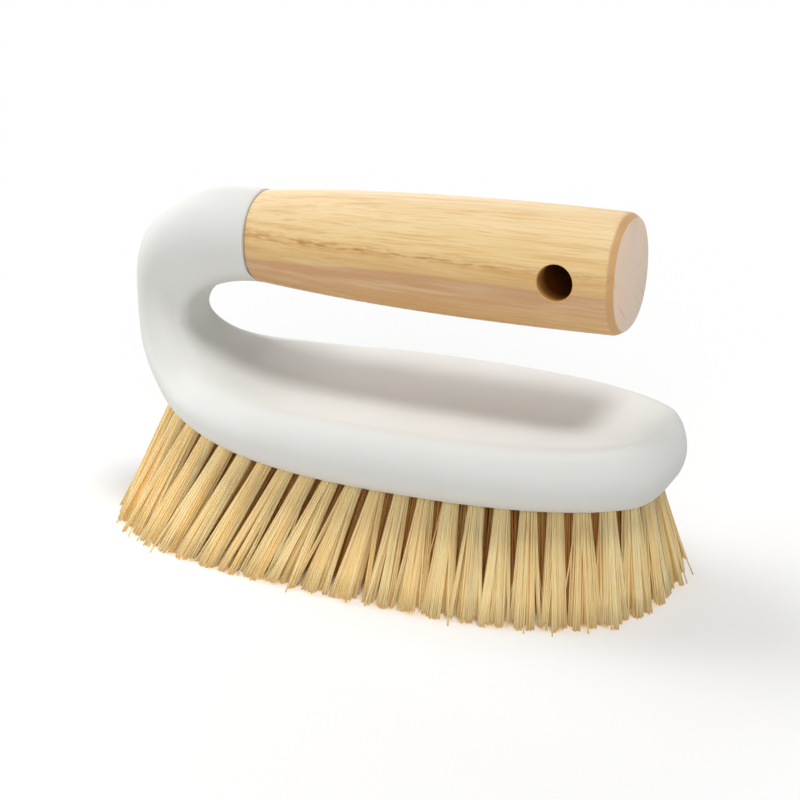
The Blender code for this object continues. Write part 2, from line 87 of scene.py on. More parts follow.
TIP_X = BLOCK_LENGTH / 2
NECK_OUTER_X = -TIP_X - NECK_OVERHANG
NECK_INNER_X = NECK_OUTER_X + NECK_THICKNESS
COLLAR_BOTTOM = BLOCK_TOP + FINGER_GAP
COLLAR_TOP = COLLAR_BOTTOM + COLLAR_DIAMETER
AXIS_Z = (COLLAR_BOTTOM + COLLAR_TOP) / 2
JOINT_X = NECK_OUTER_X + JOINT_REACH
OVAL_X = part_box("brush_body")[1].x / MM - TIP_X    # where the oval's middle lies in the frame
BEND_START_X = NECK_OUTER_X + OUTER_BEND[0]


def ease(t):
    """Goes from 0 to 1 and is level at both ends: three times t squared less twice t cubed."""
    t = np.clip(t, 0.0, 1.0)
    return t * t * (3.0 - 2.0 * t)


def bezier(start, first, second, end, t):
    """The cubic Bezier curve from start to end at t, with two handles: the four points weighted by
    the terms of one less t plus t, all cubed."""
    return ((1 - t) ** 3 * start + 3 * t * (1 - t) ** 2 * first
            + 3 * t ** 2 * (1 - t) * second + t ** 3 * end)


def quarter_bend(start, end, fullness, leaves_level):
    """A quarter turn in the XZ plane: the cubic Bezier curve whose handles reach a share, its
    fullness, of the way to the corner of the box between its two ends."""
    start, end = np.array(start), np.array(end)
    corner = np.array([end[0], start[1]] if leaves_level else [start[0], end[1]])
    first, second = start + (corner - start) * fullness, end + (corner - end) * fullness
    return bezier(start, first, second, end, np.linspace(0.0, 1.0, BEZIER_STEPS + 1)[:, None])


def evenly(points, count):
    """Points at equal distances along a polyline, without its first point."""
    run = np.concatenate([[0.0], np.cumsum(np.linalg.norm(np.diff(points, axis=0), axis=1))])
    places = np.linspace(0.0, run[-1], count + 1)[1:]
    return np.stack([np.interp(places, run, column) for column in points.T], axis=1)


def side_edge(level, bend_x, upright, elbow_x, collar_level, bend_fullness, elbow_fullness):
    """The body's outer or inner edge from the side, as rows of X and Z: level along the block,
    round the lower bend and the elbow, and level again to the handle joint."""
    crowd = 1.0 - np.cos(np.linspace(0.0, math.pi / 2, TIP_ROWS))
    tip = np.stack([TIP_X - TIP_RUN * crowd, np.full(TIP_ROWS, level)], axis=1)
    bend = quarter_bend((bend_x, level), upright, bend_fullness, True)
    elbow = quarter_bend(upright, (elbow_x, collar_level), elbow_fullness, False)
    start = [(BEND_START_X, level)]
    return np.concatenate([
        tip,
        evenly(np.concatenate([tip[-1:], start]), BLOCK_ROWS),
        evenly(np.concatenate([start, bend]), BEND_ROWS),
        evenly(elbow, ELBOW_ROWS),
        evenly(np.array([(elbow_x, collar_level), (JOINT_X - COLLAR_LIP, collar_level)]), COLLAR_ROWS),
    ])


def oval_half_width(x):
    """Half the oval's width: the half width times one less the power of x over the half length,
    to one over that power."""
    share = np.clip(np.abs(x) / TIP_X, 0.0, 1.0)
    return BLOCK_WIDTH / 2 * (1.0 - share ** OUTLINE_POWER) ** (1 / OUTLINE_POWER)


def axis_ring(x, radius, first, count):
    """A circle of points round the handle's axis, from the +Y side, up first or, at -1, down."""
    turn = np.arange(count) * math.tau / count
    return np.stack([np.full(count, x), radius * np.cos(turn), AXIS_Z + radius * np.sin(turn) * first],
                    axis=1)


def body_rows():
    """Sections of the body, a row of points round each, from the free end to the spigot's end.

    A section stands square to the line between its two edges. Its points lie to the side by its
    flat's half width plus the rim's depth times a cosine, and up by its half height times a sine.
    The block's top sinks by the dish's depth times the square of one less the square of the share
    of the way out to the rim. Up the neck the section turns into one with flat sides that lean in,
    between two edges rounded by arcs, and along the elbow into a circle."""
    outer = side_edge(BLOCK_BOTTOM, BEND_START_X, (NECK_OUTER_X, BLOCK_BOTTOM + OUTER_BEND[1]),
                      NECK_OUTER_X + OUTER_ELBOW[0], COLLAR_TOP, OUTER_BEND[2], OUTER_ELBOW[1])
    inner = side_edge(BLOCK_TOP, NECK_INNER_X + INNER_BEND[0], (NECK_INNER_X, BLOCK_TOP + INNER_BEND[1]),
                      NECK_INNER_X + INNER_ELBOW[0], COLLAR_BOTTOM, INNER_BEND[2], INNER_ELBOW[1])
    thickness = np.linalg.norm(inner - outer, axis=1)
    across = (inner - outer) / thickness[:, None]
    middle = (outer + inner) / 2
    x = middle[:, 0]
    run = np.concatenate([[0.0], np.cumsum(np.linalg.norm(np.diff(middle, axis=0), axis=1))])
    bend_end = TIP_ROWS + BLOCK_ROWS + BEND_ROWS - 1
    blend_start = np.interp(BLEND_START, -x[:bend_end], run[:bend_end])
    blend_run = run[bend_end] - blend_start
    share = np.clip((run - blend_start) / blend_run, 0.0, 1.0)
    blend = ease(share)
    roundness = ease((run - run[bend_end]) / (run[bend_end + ELBOW_ROWS] - run[bend_end]))

    start_width, step = oval_half_width(BLEND_START), 0.1
    slope = (oval_half_width(BLEND_START + step) - start_width) / step * blend_run
    narrowing = (start_width * (2 * share ** 3 - 3 * share ** 2 + 1)
                 + slope * (share ** 3 - 2 * share ** 2 + share)
                 + NECK_WIDTH / 2 * (3 * share ** 2 - 2 * share ** 3))
    neck = NECK_WIDTH / 2 + (COLLAR_DIAMETER - NECK_WIDTH) / 2 * roundness
    half_width = np.where(share > 0.0, np.where(share < 1.0, narrowing, neck), oval_half_width(x))
    half_flat = (np.maximum(half_width - RIM_DEPTH, half_width / 4) * (1.0 - blend)
                 + NECK_FLAT / 2 * blend)
    from_tip = np.clip((TIP_X - x) / RIM_DEPTH, 0.0, 1.0)
    half_height = thickness / 2 * np.sqrt(1.0 - (1.0 - from_tip) ** 2)
    dish = DISH_DEPTH * (1.0 - blend) * ease((TIP_X - RIM_DEPTH - x) / DISH_RUN)

    rim_turn = np.linspace(0.0, math.pi / 2, RIM_STEPS + 1)
    flat = np.linspace(1.0, -1.0, FLAT_STEPS + 1)[1:-1]
    upper = np.concatenate([
        np.stack([np.ones_like(rim_turn), np.cos(rim_turn), np.sin(rim_turn)], axis=1),
        np.stack([flat, np.zeros_like(flat), np.ones_like(flat)], axis=1),
        np.stack([-np.ones_like(rim_turn), -np.cos(rim_turn), np.sin(rim_turn)], axis=1)[::-1]])
    flat, rim, height = np.concatenate([upper, upper[-2:0:-1] * (1.0, 1.0, -1.0)]).T
    side = half_flat[:, None] * flat + (half_width - half_flat)[:, None] * rim
    rise = half_height[:, None] * height
    to_rim = side / np.maximum(half_width, MM)[:, None]
    rise -= dish[:, None] * (1.0 - to_rim ** 2) ** 2 * (height > 0.0)

    edges = []
    bow = np.linspace(0.0, math.pi / 2, RIM_STEPS)
    for radius, trim in (NECK_INNER_EDGE, NECK_OUTER_EDGE):
        flat_reach = half_width[:, None] - trim - radius
        edges.append((flat_reach + radius * np.cos(bow),
                      half_height[:, None] - radius * (1.0 - np.sin(bow)),
                      flat_reach * np.linspace(1.0, -1.0, FLAT_STEPS + 1)[1:-1]))
    (near, up, plate), (outer_near, down, outer_plate) = edges
    halfway = (near[:, :1] + outer_near[:, :1]) / 2
    level = (up[:, :1] - down[:, :1]) / 2
    neck_side = np.hstack([halfway, near, plate, -near[:, ::-1], -halfway,
                           -outer_near, -outer_plate, outer_near[:, ::-1]])
    plate_rise = np.repeat(half_height[:, None], FLAT_STEPS - 1, axis=1)
    neck_rise = np.hstack([level, up, plate_rise, up[:, ::-1], level,
                           -down, -plate_rise, -down[:, ::-1]])
    edged = (ease(share * NECK_EDGES_SOONER) * (1.0 - roundness) ** 3)[:, None]
    side += (neck_side - side) * edged
    rise += (neck_rise - rise) * edged
    turn = np.arange(len(flat)) * math.tau / len(flat)
    round_share = roundness[:, None]
    side += (half_width[:, None] * np.cos(turn) - side) * round_share
    rise += (thickness[:, None] / 2 * np.sin(turn) - rise) * round_share
    places = middle[:, None, :] + across[:, None, :] * rise[..., None]
    rows = np.stack([places[..., 0], side, places[..., 1]], axis=2)

    lip = np.linspace(0.0, math.pi / 2, LIP_ROWS + 1)[1:]
    spigot_end = JOINT_X + SPIGOT_LENGTH
    ends = [(JOINT_X - COLLAR_LIP + COLLAR_LIP * math.sin(a),
             COLLAR_DIAMETER / 2 - COLLAR_LIP + COLLAR_LIP * math.cos(a)) for a in lip]
    ends += [(JOINT_X, SPIGOT_RADIUS), (spigot_end - SPIGOT_CHAMFER, SPIGOT_RADIUS),
             (spigot_end, SPIGOT_RADIUS - SPIGOT_CHAMFER), (spigot_end, 0.0)]
    return np.concatenate([rows, [axis_ring(at, radius, -1, len(flat)) for at, radius in ends]])


def surface(name, rows, sharp_degrees=35.0):
    """An object whose mesh spans rows of points, each row a closed loop. A row that shrinks to a
    point becomes a pole, and the faces are turned outwards."""
    index = np.arange(rows.shape[0] * rows.shape[1]).reshape(rows.shape[:2])
    after = np.roll(index, -1, axis=1)
    faces = np.stack([index[:-1], after[:-1], after[1:], index[1:]], axis=-1).reshape(-1, 4)
    mesh = bpy.data.meshes.new(name)
    mesh.from_pydata((rows.reshape(-1, 3) + (OVAL_X, 0.0, 0.0)) * MM, [], faces.tolist())
    bm = bmesh.new()
    bm.from_mesh(mesh)
    bmesh.ops.remove_doubles(bm, verts=bm.verts, dist=1e-7)
    bmesh.ops.recalc_face_normals(bm, faces=bm.faces)
    bm.to_mesh(mesh)
    bm.free()
    mesh.shade_smooth()
    mesh.set_sharp_from_angle(angle=math.radians(sharp_degrees))
    obj = bpy.data.objects.new(name, mesh)
    bpy.context.scene.collection.objects.link(obj)
    return obj


def linear(code):
    """The linear colour, with alpha, of an sRGB hex code: below 0.04045 the value over 12.92, and
    else the value plus 0.055, over 1.055, to the power 2.4."""
    srgb = np.array([int(code[k:k + 2], 16) / 255 for k in (1, 3, 5)])
    return (*np.where(srgb <= 0.04045, srgb / 12.92, ((srgb + 0.055) / 1.055) ** 2.4), 1.0)


def add_node(tree, kind, inputs=None, **settings):
    """Adds a shader node with its settings. An input is a value, or a socket to link from, and goes
    by its label or number: on a MapRange 1 and 2 are the range it reads and 3 and 4 the range it
    gives, and on a colour Mix 0 is the share and 6 and 7 are the colours."""
    made = tree.nodes.new("ShaderNode" + kind)
    for key, value in settings.items():
        setattr(made, key, value)
    for key, value in (inputs or {}).items():
        if isinstance(value, bpy.types.NodeSocket):
            tree.links.new(value, made.inputs[key])
        else:
            made.inputs[key].default_value = value
    return made


def start_material(name):
    """A material with an empty Principled shader. Returns it with its tree and the shader."""
    material = bpy.data.materials.new(name)
    material.use_nodes = True
    tree = material.node_tree
    return material, tree, tree.nodes["Principled BSDF"]


# Moulded white polypropylene: a warm white that is slightly greyer in the depth of its tone, with
# a satin sheen. The mould's fine spark finish, 0.4 mm across, breaks up the highlights.
PLASTIC_WHITE, PLASTIC_SHADE = "#E2E2DE", "#DCDCD7"
plastic, tree, shader = start_material("moulded_white_polypropylene")
shader.inputs["IOR"].default_value = 1.49
place = add_node(tree, "TexCoord").outputs["Object"]
cloud = add_node(tree, "TexNoise", {"Vector": place, "Scale": 60.0, "Detail": 2.0})
grit = add_node(tree, "TexNoise", {"Vector": place, "Scale": 2500.0, "Detail": 1.0})
tint = add_node(tree, "Mix", {0: cloud.outputs[0], 6: linear(PLASTIC_WHITE), 7: linear(PLASTIC_SHADE)},
                data_type="RGBA")
gloss = add_node(tree, "MapRange", {0: cloud.outputs[0], 1: 0.3, 2: 0.7, 3: 0.50, 4: 0.56})
bump = add_node(tree, "Bump", {"Height": grit.outputs[0], "Strength": 0.06, "Distance": 0.00005})
tree.links.new(tint.outputs[2], shader.inputs["Base Color"])
tree.links.new(gloss.outputs[0], shader.inputs["Roughness"])
tree.links.new(bump.outputs[0], shader.inputs["Normal"])

body = surface("white_plastic_body", body_rows())
body.data.materials.append(plastic)
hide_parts("brush_body")
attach(body, "root")

# The tufts: bundles of stiff straw-coloured plant fibre, folded double and anchored in drilled
# holes, then trimmed level. The outer ring splays outwards, most of all at the neck, and three
# rings fill the block inside it. Each outer tuft is a piece of its own.
TUFT_PITCH, INNER_PITCH = 6.5, 7.4
TUFT_INSET, TUFT_FREE_INSET, TUFT_NECK_INSET = 9.4, 7.6, 1.2
FLARE_FREE_END, FLARE_NECK_END, FLARE_SIDES = 5.5, 16.5, 11.3
TUFT_RING_POWER, TIP_RING_POWER, TIP_TAPER = 2.5, 2.8, 0.07
RING_SPACING, INNER_RINGS = 6.9, 3
OUTLINE_STEPS, TURN_STEP = 1440, 0.01     # of the outline that spaces the tufts and gives their direction
OUTER_TUFT = (95, 4, 1.9)      # fibres, a fibre's sides, and the radius at the hole
INNER_TUFT = (80, 3, 3.3)      # looser at the hole, as it only fills the depth behind the others
RAY_START_Z = -5.0             # below the floor, to find the block's underside from there
HOLE_START = 2.0               # how far above the underside the fibres begin
GATHERED, LOOSER = 5.0, 1.05   # how far below it they stay side by side, and how much wider by then
FIBRE_RADIUS, FIBRE_TAPER = (0.19, 0.28), 0.12     # smallest and largest, and its loss by the tip
FIBRE_ROWS = 6
LEAVES_AT = (0.5, 1.2)         # where a fibre leaves the others: its first handle, as a share of GATHERED
LAST_HANDLE = (0.3, 0.5)       # how far its second handle lies back from its tip, as a share
FIBRE_BOW = 0.14               # how far it strays sideways in the middle of its length
CLUMPS, CLUMPING = 8, 0.52     # the clumps of a tuft, and how much of its place a fibre keeps in one
FAN_OUT, FAN_ALONG = 3.1, 0.58     # the tips' reach, out in mm and along as a share of their spacing
SCATTER = (0.4, 0.1)           # how far a clump and a fibre stray from their even places at the tips
LONGEST_TRIM = 2.0             # how unevenly the tips are cut
TRIM_SHARES, TONE_SHARES = (0.7, 0.3), (0.6, 0.4)     # of the trim and tone: a clump's, a fibre's own
INNER_SHADE_TONE = 1.0               # added to the tones of the inner tufts, which the material turns into painted shade
TIP_CLEARANCE = 0.02           # from the floor to the middle of the longest fibre's end
STRAYS, STRAYING = 0.05, 1.9       # the share of fibres that stray, and how far
STRAY_LIMIT = 1.4                  # none leaves the solids' bounds by more than this
REACH = [np.array(corner)[:2] / MM - (OVAL_X, 0.0) for corner in cad_box]


def superellipse(angle, power):
    """A unit outline: the cosine and the sine of the angle, each to two over the power."""
    across, up = np.cos(angle), np.sin(angle)
    return np.array([np.sign(across) * np.abs(across) ** (2 / power),
                     np.sign(up) * np.abs(up) ** (2 / power)])


def tuft_places(inset, pitch):
    """Roots' and tips' X and Y and the directions along the ring, evenly spaced round one ring of
    tufts. The roots lie on a superellipse inside the block's outline, the tips on a wider one."""
    neck_end, free_end = -TIP_X + TUFT_NECK_INSET, TIP_X - TUFT_FREE_INSET
    half_length, half_width = (free_end - neck_end) / 2, BLOCK_WIDTH / 2 - TUFT_INSET
    centre = (free_end + neck_end) / 2
    root_size = np.array([[half_length - inset], [half_width - inset]])
    flare = (FLARE_FREE_END + FLARE_NECK_END) / 2
    tip_size = root_size * [[1.0 + flare / half_length], [1.0 + FLARE_SIDES / half_width]]
    angles = np.linspace(0.0, math.tau, OUTLINE_STEPS + 1)
    outline = root_size * superellipse(angles, TUFT_RING_POWER)
    run = np.concatenate([[0.0], np.cumsum(np.hypot(*np.diff(outline, axis=1)))])
    count = round(run[-1] / pitch)
    angle = np.interp((np.arange(count) + 0.5) / count * run[-1], run, angles)
    roots = root_size * superellipse(angle, TUFT_RING_POWER) + [[centre], [0.0]]
    along = root_size * (superellipse(angle + TURN_STEP, TUFT_RING_POWER)
                         - superellipse(angle - TURN_STEP, TUFT_RING_POWER))
    across, up = superellipse(angle, TIP_RING_POWER)
    tips = tip_size * [across, up * (1.0 + TIP_TAPER * across)]
    tips[0] += centre + (FLARE_FREE_END - FLARE_NECK_END) / 2
    return roots.T, tips.T, (along / np.hypot(*along)).T


def sunflower(count):
    """Points spread evenly over a unit disc: the reach grows as the root of the point's number, and
    each point is turned on from the last by the golden angle."""
    number = np.arange(count)
    reach, turn = np.sqrt((number + 0.5) / count), number * math.pi * (3.0 - math.sqrt(5.0))
    return np.stack([reach * np.cos(turn), reach * np.sin(turn)], axis=1)


def fibre_tuft(random, root, tip, along, spacing, fibres, sides, bundle, inner):
    """One tuft's points, one closed prism for each fibre, with its faces and the fibres' tones.

    The fibres start side by side in a sunflower pattern and follow the tuft's line while they are
    gathered. Below that they part into clumps and fan out, each on a cubic Bezier curve with a
    slight bow of its own: a tip lies at its clump's place in the fanned pattern plus a share of its
    own place in the clump. A few stray across their neighbours. Tones lie from 0 to 1, and one
    higher in an inner tuft, which the material reads as a browner colour: painted shade for the
    depth of the brush."""
    up = (root - tip) / np.linalg.norm(root - tip)
    level_out = np.array([along[1], -along[0], 0.0])
    outward = np.cross(along, up)
    outward /= np.linalg.norm(outward)
    disc, turn = sunflower(fibres), random.uniform(0.0, math.tau)
    hubs = sunflower(CLUMPS) @ np.array([[math.cos(turn), math.sin(turn)],
                                         [-math.sin(turn), math.cos(turn)]])
    clump = np.linalg.norm(disc[:, None] - hubs, axis=2).argmin(axis=1)
    spread = (hubs[clump] + (disc - hubs[clump]) * CLUMPING) * [FAN_OUT, FAN_ALONG * spacing]
    spread += (random.normal(0.0, SCATTER[0], hubs.shape)[clump]
               + random.normal(0.0, SCATTER[1], disc.shape))
    stray = random.random(fibres) < STRAYS
    spread[stray] += random.normal(0.0, STRAYING, (stray.sum(), 2))
    axes = np.stack([outward, np.cross(up, outward)])
    held = disc @ axes * bundle
    start = root + up * HOLE_START + held
    gather = root - up * GATHERED * random.uniform(*LEAVES_AT, (fibres, 1)) + held * LOOSER
    end = tip + spread @ np.stack([level_out, along])
    end[:, :2] = np.clip(end[:, :2], REACH[0] - STRAY_LIMIT, REACH[1] + STRAY_LIMIT)
    end[:, 2] = TIP_CLEARANCE + LONGEST_TRIM * (TRIM_SHARES[0] * random.random(CLUMPS)[clump] ** 2
                                                + TRIM_SHARES[1] * random.random(fibres) ** 2)
    late = end + (gather - end) * random.uniform(*LAST_HANDLE, (fibres, 1))
    t = np.linspace(0.0, 1.0, FIBRE_ROWS)[None, :, None]
    line = bezier(start[:, None], gather[:, None], late[:, None], end[:, None], t)
    line += (random.normal(0.0, FIBRE_BOW, (fibres, 2)) @ axes)[:, None] * np.sin(math.pi * t)
    radius = random.uniform(*FIBRE_RADIUS, (fibres, 1, 1)) * (1.0 - FIBRE_TAPER * t)
    corner = random.uniform(0.0, math.tau, (fibres, 1)) + np.arange(sides) * math.tau / sides
    ring = np.cos(corner)[..., None] * axes[0] + np.sin(corner)[..., None] * axes[1]
    points = line[:, :, None, :] + ring[:, None] * radius[..., None]
    index = np.arange(FIBRE_ROWS * sides).reshape(FIBRE_ROWS, sides)
    after = np.roll(index, -1, axis=1)
    walls = np.stack([index[:-1], index[1:], after[1:], after[:-1]], axis=-1).reshape(-1, 4)
    tone = (TONE_SHARES[0] * random.random(CLUMPS)[clump] + TONE_SHARES[1] * random.random(fibres)
            + (INNER_SHADE_TONE if inner else 0.0))
    return points.reshape(-1, 3), walls, index[0], index[-1][::-1], tone


def fibre_piece(name, tufts, sides):
    """One object of one or more tufts. Each point carries its fibre's tone and its share of the
    way from the block to the tips."""
    points, faces, round_faces, tones, shares = [], [], [], [], []
    offset = 0
    for spots, walls, first, last, tone in tufts:
        size = FIBRE_ROWS * sides
        starts = offset + np.arange(len(tone))[:, None] * size
        faces += (walls[None] + starts[..., None]).reshape(-1, 4).tolist()
        faces += (first + starts).tolist() + (last + starts).tolist()
        round_faces += [True] * (len(walls) * len(tone)) + [False] * (2 * len(tone))
        points.append(spots)
        tones.append(np.repeat(tone, size))
        shares.append(np.tile(np.repeat(np.linspace(0.0, 1.0, FIBRE_ROWS), sides), len(tone)))
        offset += len(spots)
    mesh = bpy.data.meshes.new(name)
    mesh.from_pydata((np.concatenate(points) + (OVAL_X, 0.0, 0.0)) * MM, [], faces)
    mesh.polygons.foreach_set("use_smooth", round_faces)
    for label, values in (("tone", tones), ("share", shares)):
        layer = mesh.attributes.new(label, "FLOAT", "POINT")
        layer.data.foreach_set("value", np.concatenate(values).astype(np.float32))
    obj = bpy.data.objects.new(name, mesh)
    bpy.context.scene.collection.objects.link(obj)
    return obj


# Dried plant fibre, stripped and cut: pale straw to a warmer straw from one fibre to the next, with
# flecks 3 mm across, and a little darker at the cut ends. The inner tufts are painted browner, as
# painted shade for the depth of the brush. Each fibre is matt, and lets most of the lamps' light
# through, so the tufts glow a warm brown in their depths.
FIBRE_PALE, FIBRE_WARM, FIBRE_INNER_PAINTED_SHADE, FIBRE_CUT = "#EFE0B1", "#E8CA8E", "#E9AE62", "#DDB384"
FIBRE_THROUGH = "#FDF6E8"
fibre, tree, shader = start_material("dried_plant_fibre")
shader.inputs["Roughness"].default_value = 0.5
shader.inputs["IOR"].default_value = 1.45
shader.inputs["Subsurface Weight"].default_value = 0.7
shader.inputs["Subsurface Radius"].default_value = (1.0, 0.85, 0.6)
shader.inputs["Subsurface Scale"].default_value = 0.0004
tone = add_node(tree, "Attribute", attribute_name="tone").outputs["Fac"]
share = add_node(tree, "Attribute", attribute_name="share").outputs["Fac"]
place = add_node(tree, "TexCoord").outputs["Object"]
fleck = add_node(tree, "TexNoise", {"Vector": place, "Scale": 350.0, "Detail": 2.0})
straw = add_node(tree, "Mix", {0: tone, 6: linear(FIBRE_PALE), 7: linear(FIBRE_WARM)},
                 data_type="RGBA")
# Painted shade: tones above 1 turn the inner tufts browner, for the shade deep in the brush.
inner = add_node(tree, "MapRange", {0: tone, 1: 1.0, 2: 1.3})
straw = add_node(tree, "Mix", {0: inner.outputs[0], 6: straw.outputs[2], 7: linear(FIBRE_INNER_PAINTED_SHADE)},
                 data_type="RGBA")
mottle = add_node(tree, "MapRange", {0: fleck.outputs[0], 1: 0.4, 2: 0.75, 3: 0.0, 4: 0.35})
straw = add_node(tree, "Mix", {0: mottle.outputs[0], 6: straw.outputs[2], 7: linear(FIBRE_WARM)},
                 data_type="RGBA")
cut = add_node(tree, "MapRange", {0: share, 1: 0.965, 2: 1.0, 3: 0.0, 4: 0.6})
straw = add_node(tree, "Mix", {0: cut.outputs[0], 6: straw.outputs[2], 7: linear(FIBRE_CUT)},
                 data_type="RGBA")
tree.links.new(straw.outputs[2], shader.inputs["Base Color"])
through = add_node(tree, "BsdfTransparent", {0: linear(FIBRE_THROUGH)})
through = add_node(tree, "MixShader", {0: add_node(tree, "LightPath").outputs["Is Shadow Ray"],
                                       1: shader.outputs[0], 2: through.outputs[0]})
tree.links.new(through.outputs[0], tree.nodes["Material Output"].inputs["Surface"])

random = np.random.default_rng(12)
bpy.context.view_layer.update()
for ring in range(INNER_RINGS + 1):
    roots, tips, directions = tuft_places(RING_SPACING * ring, INNER_PITCH if ring else TUFT_PITCH)
    fibres, sides, bundle = INNER_TUFT if ring else OUTER_TUFT
    spacings = np.linalg.norm(np.roll(tips, -1, axis=0) - np.roll(tips, 1, axis=0), axis=1) / 2
    made = []
    for (x, y), tip, direction, spacing in zip(roots, tips, directions, spacings):
        hit = body.ray_cast(Vector((x + OVAL_X, y, RAY_START_Z)) * MM, Vector((0.0, 0.0, 1.0)))[1]
        root = np.array([x, y, hit.z / MM])
        made.append(fibre_tuft(random, root, np.array([*tip, 0.0]), np.array([*direction, 0.0]),
                               spacing, fibres, sides, bundle, ring > 0))
    if ring:
        pieces = [(f"fibre_ring_inner_{ring}", made, f"tuft_ring_inner_{ring}")]
    else:
        pieces = [(f"fibre_tuft_outer_{k:02d}", [tuft], f"tuft_outer_{k:02d}")
                  for k, tuft in enumerate(made, start=1)]
    for name, tufts, node in pieces:
        piece = fibre_piece(name, tufts, sides)
        piece.data.materials.append(fibre)
        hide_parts(node)
        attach(piece, "root")

# The handle: bamboo strips glued side by side, turned to a slightly squared oval that swells
# towards the free end, with a turned chamfer there and a hanging hole drilled across it. Its joint
# end is bored for the body's spigot and butts against the collar, glued.
SEAT_GAP = 0.3
HANDLE_LENGTH = 101.0
HANDLE_HEIGHTS = (24.0, 28.6, 30.3, 29.9)     # at the joint, one third, two thirds and the end
HANDLE_FLATNESS, HANDLE_SQUARENESS, HANDLE_RISE = 0.97, 2.2, 1.3
END_CHAMFER_DEPTH, END_CHAMFER_LENGTH, EDGE_SOFTENING = 1.4, 2.0, 0.4
HOLE_RADIUS, HOLE_FROM_END, HOLE_CHAMFER = 4.5, 14.7, 0.2
EDGE_BOW, EDGE_REACH = 0.7, 0.8     # the chamfer's edges are rounded by these shares of the softening
HANDLE_ROWS, HANDLE_SIDES, HOLE_SIDES = 120, 112, 64
HANDLE_SHARP = 25.0            # degrees, from which an edge of the handle counts as sharp
CUTTER_OVERSHOOT = 2.0
HANDLE_START = JOINT_X + SEAT_GAP


def handle_height(share):
    """The handle's height at a share of its length: the cubic through the four heights."""
    return np.polyval(np.polyfit(np.linspace(0.0, 1.0, 4), HANDLE_HEIGHTS, 3), share)


def handle_row(share, inset):
    """A section of the handle: a superellipse of the handle's height, centred on the axis as it
    rises, and drawn in by the inset."""
    height = handle_height(share)
    side, up = superellipse(np.arange(HANDLE_SIDES) * math.tau / HANDLE_SIDES, HANDLE_SQUARENESS)
    return np.stack([np.full(HANDLE_SIDES, HANDLE_START + HANDLE_LENGTH * share),
                     (height * HANDLE_FLATNESS / 2 - inset) * side,
                     AXIS_Z + HANDLE_RISE * share + (height / 2 - inset) * up], axis=1)


def handle_rows():
    """The bore, the joint end, the sections along the handle, and the chamfered free end."""
    bore = SPIGOT_RADIUS + SEAT_GAP
    bore_end = JOINT_X + SPIGOT_LENGTH + SEAT_GAP
    rows = [axis_ring(bore_end, 0.0, 1, HANDLE_SIDES), axis_ring(bore_end, bore, 1, HANDLE_SIDES),
            axis_ring(HANDLE_START, bore, 1, HANDLE_SIDES), handle_row(0.0, EDGE_SOFTENING)]
    soft, chamfer = EDGE_SOFTENING / HANDLE_LENGTH, END_CHAMFER_LENGTH / HANDLE_LENGTH
    rows += [handle_row(share, 0.0) for share in np.linspace(soft, 1.0 - chamfer - soft, HANDLE_ROWS)]
    rows += [handle_row(1.0 - chamfer + soft, EDGE_SOFTENING * EDGE_BOW),
             handle_row(1.0 - soft * EDGE_REACH, END_CHAMFER_DEPTH - EDGE_SOFTENING * EDGE_BOW),
             handle_row(1.0, END_CHAMFER_DEPTH + EDGE_SOFTENING)]
    centre = rows[-1].mean(axis=0)
    rows.append(np.tile(centre, (HANDLE_SIDES, 1)))
    return np.stack(rows)


def hole_rows(handle_x):
    """The cutter for the hanging hole: a cylinder along Y that flares to the chamfer's width
    where it leaves the handle's curved side."""
    share = (handle_x - HANDLE_START) / HANDLE_LENGTH
    height = handle_height(share)
    middle = AXIS_Z + HANDLE_RISE * share
    turn = np.arange(HOLE_SIDES) * math.tau / HOLE_SIDES
    rows = []
    for way in (-1, 1):
        rings = []
        for radius, beyond in ((HOLE_RADIUS, -HOLE_CHAMFER), (HOLE_RADIUS + HOLE_CHAMFER, 0.0),
                               (HOLE_RADIUS + HOLE_CHAMFER * 2, HOLE_CHAMFER)):
            x, z = handle_x + radius * np.cos(turn), radius * np.sin(turn)
            bulge = (1.0 - np.abs(2 * z / height) ** HANDLE_SQUARENESS) ** (1 / HANDLE_SQUARENESS)
            y = way * (height * HANDLE_FLATNESS / 2 * bulge + beyond)
            rings.append(np.stack([x, y, middle + z], axis=1))
        cap = np.tile([handle_x, way * (height / 2 + CUTTER_OVERSHOOT), middle], (HOLE_SIDES, 1))
        rows.append([*rings, cap])
    return np.stack([*rows[0][::-1], *rows[1]])


handle = surface("laminated_bamboo_handle", handle_rows(), HANDLE_SHARP)
drill = surface("hanging_hole_drill", hole_rows(HANDLE_START + HANDLE_LENGTH - HOLE_FROM_END))
cut = handle.modifiers.new("hanging hole", "BOOLEAN")
cut.operation, cut.solver, cut.object = "DIFFERENCE", "EXACT", drill
drilled = bpy.data.meshes.new_from_object(handle.evaluated_get(bpy.context.evaluated_depsgraph_get()))
handle.modifiers.clear()
handle.data = drilled
bpy.data.objects.remove(drill)
handle.data.shade_smooth()
handle.data.set_sharp_from_angle(angle=math.radians(HANDLE_SHARP))

